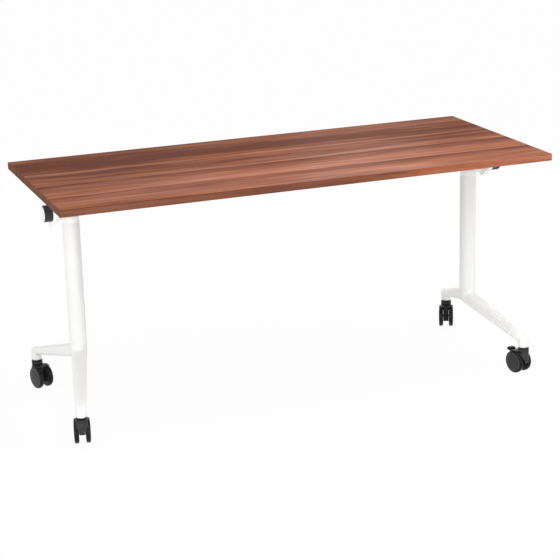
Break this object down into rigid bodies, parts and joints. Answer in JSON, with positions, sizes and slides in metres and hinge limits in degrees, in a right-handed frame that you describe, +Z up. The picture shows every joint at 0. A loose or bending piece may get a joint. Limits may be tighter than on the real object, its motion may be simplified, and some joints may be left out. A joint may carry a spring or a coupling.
{
  "type": "tilting-top table",
  "caption": "Long walnut-laminate table whose top tips upright on white columns, with splayed feet, release knobs at the ends and twin-wheel castors.",
  "frame": {"origin": "on the floor, at the middle of the whole table seen from above", "axes": "+X along the length of the top to the right, +Y to the back, +Z up"},
  "size_m": [1.6, 0.7, 0.76],
  "materials": {
    "walnut_top": "satin wood-grain laminate",
    "walnut_edge": "satin wood-grain edge band",
    "white_paint": "satin white powder coat",
    "steel": "plain steel",
    "black_plastic": "matte black plastic",
    "wheel_black": "satin black plastic wheel",
    "pale_cap": "satin pale grey plastic"
  },
  "bodies": {
    "frame": {"cross_beam": "white_paint", "foot_left": "white_paint", "foot_right": "white_paint", "column_left": "white_paint", "column_right": "white_paint", "column_head_left": "white_paint", "column_head_right": "white_paint", "tilt_pin_left": "steel", "tilt_pin_right": "steel", "castor_stem_fl": "steel", "castor_stem_fr": "steel", "castor_stem_bl": "steel", "castor_stem_br": "steel"},
    "top": {"top_board": "walnut_top", "edge_band_front": "walnut_edge", "edge_band_back": "walnut_edge", "edge_band_left": "walnut_edge", "edge_band_right": "walnut_edge", "tilt_bracket_left": "white_paint", "tilt_bracket_right": "white_paint", "bracket_screws": "steel"},
    "knob_left": {"knob_grip_left": "black_plastic", "knob_cap_left": "pale_cap", "knob_spindle_left": "steel"},
    "knob_right": {"knob_grip_right": "black_plastic", "knob_cap_right": "pale_cap", "knob_spindle_right": "steel"},
    "castor_fl": {"castor_hood_fl": "black_plastic", "castor_axle_fl": "steel", "pedal_pin_fl": "steel"},
    "wheel_fl_a": {"wheel_fl_a": "wheel_black"},
    "wheel_fl_b": {"wheel_fl_b": "wheel_black"},
    "pedal_fl": {"brake_pedal_fl": "black_plastic"},
    "castor_fr": {"castor_hood_fr": "black_plastic", "castor_axle_fr": "steel", "pedal_pin_fr": "steel"},
    "wheel_fr_a": {"wheel_fr_a": "wheel_black"},
    "wheel_fr_b": {"wheel_fr_b": "wheel_black"},
    "pedal_fr": {"brake_pedal_fr": "black_plastic"},
    "castor_bl": {"castor_hood_bl": "black_plastic", "castor_axle_bl": "steel"},
    "wheel_bl_a": {"wheel_bl_a": "wheel_black"},
    "wheel_bl_b": {"wheel_bl_b": "wheel_black"},
    "castor_br": {"castor_hood_br": "black_plastic", "castor_axle_br": "steel"},
    "wheel_br_a": {"wheel_br_a": "wheel_black"},
    "wheel_br_b": {"wheel_br_b": "wheel_black"}
  },
  "joints": [
    {"name": "top_tilt", "type": "hinge", "parent": "frame", "child": "top", "pos_m": [0, 0.0075, 0.646], "axis": [1, 0, 0], "range_deg": [0, 90]},
    {"name": "knob_left_turn", "type": "hinge", "parent": "top", "child": "knob_left", "pos_m": [-0.752, -0.0255, 0.672], "axis": [1, 0, 0], "range_deg": [0, 40], "stiffness_Nm_per_rad": 0.5},
    {"name": "knob_right_turn", "type": "hinge", "parent": "top", "child": "knob_right", "pos_m": [0.752, -0.0255, 0.672], "axis": [1, 0, 0], "range_deg": [0, 40], "stiffness_Nm_per_rad": 0.5},
    {"name": "swivel_fl", "type": "hinge", "parent": "frame", "child": "castor_fl", "pos_m": [-0.756, -0.2655, 0.09], "axis": [0, 0, 1], "continuous": true},
    {"name": "wheel_fl_a_spin", "type": "hinge", "parent": "castor_fl", "child": "wheel_fl_a", "pos_m": [-0.75083, -0.24309, 0.0375], "axis": [-0.9744, 0.225, 0], "continuous": true},
    {"name": "wheel_fl_b_spin", "type": "hinge", "parent": "castor_fl", "child": "wheel_fl_b", "pos_m": [-0.75083, -0.24309, 0.0375], "axis": [-0.9744, 0.225, 0], "continuous": true},
    {"name": "brake_fl", "type": "hinge", "parent": "castor_fl", "child": "pedal_fl", "pos_m": [-0.747, -0.22653, 0.056], "axis": [-0.9744, 0.225, 0], "range_deg": [0, 12]},
    {"name": "swivel_fr", "type": "hinge", "parent": "frame", "child": "castor_fr", "pos_m": [0.756, -0.2655, 0.09], "axis": [0, 0, 1], "continuous": true},
    {"name": "wheel_fr_a_spin", "type": "hinge", "parent": "castor_fr", "child": "wheel_fr_a", "pos_m": [0.75005, -0.24328, 0.0375], "axis": [-0.9659, -0.2588, 0], "continuous": true},
    {"name": "wheel_fr_b_spin", "type": "hinge", "parent": "castor_fr", "child": "wheel_fr_b", "pos_m": [0.75005, -0.24328, 0.0375], "axis": [-0.9659, -0.2588, 0], "continuous": true},
    {"name": "brake_fr", "type": "hinge", "parent": "castor_fr", "child": "pedal_fr", "pos_m": [0.74565, -0.22686, 0.056], "axis": [-0.9659, -0.2588, 0], "range_deg": [0, 12]},
    {"name": "swivel_bl", "type": "hinge", "parent": "frame", "child": "castor_bl", "pos_m": [-0.758, 0.3145, 0.09], "axis": [0, 0, 1], "continuous": true},
    {"name": "wheel_bl_a_spin", "type": "hinge", "parent": "castor_bl", "child": "wheel_bl_a", "pos_m": [-0.75128, 0.29251, 0.0375], "axis": [0.9563, 0.2924, 0], "continuous": true},
    {"name": "wheel_bl_b_spin", "type": "hinge", "parent": "castor_bl", "child": "wheel_bl_b", "pos_m": [-0.75128, 0.29251, 0.0375], "axis": [0.9563, 0.2924, 0], "continuous": true},
    {"name": "swivel_br", "type": "hinge", "parent": "frame", "child": "castor_br", "pos_m": [0.758, 0.3145, 0.09], "axis": [0, 0, 1], "continuous": true},
    {"name": "wheel_br_a_spin", "type": "hinge", "parent": "castor_br", "child": "wheel_br_a", "pos_m": [0.74774, 0.29392, 0.0375], "axis": [0.8949, -0.4462, 0], "continuous": true},
    {"name": "wheel_br_b_spin", "type": "hinge", "parent": "castor_br", "child": "wheel_br_b", "pos_m": [0.74774, 0.29392, 0.0375], "axis": [0.8949, -0.4462, 0], "continuous": true}
  ]
}
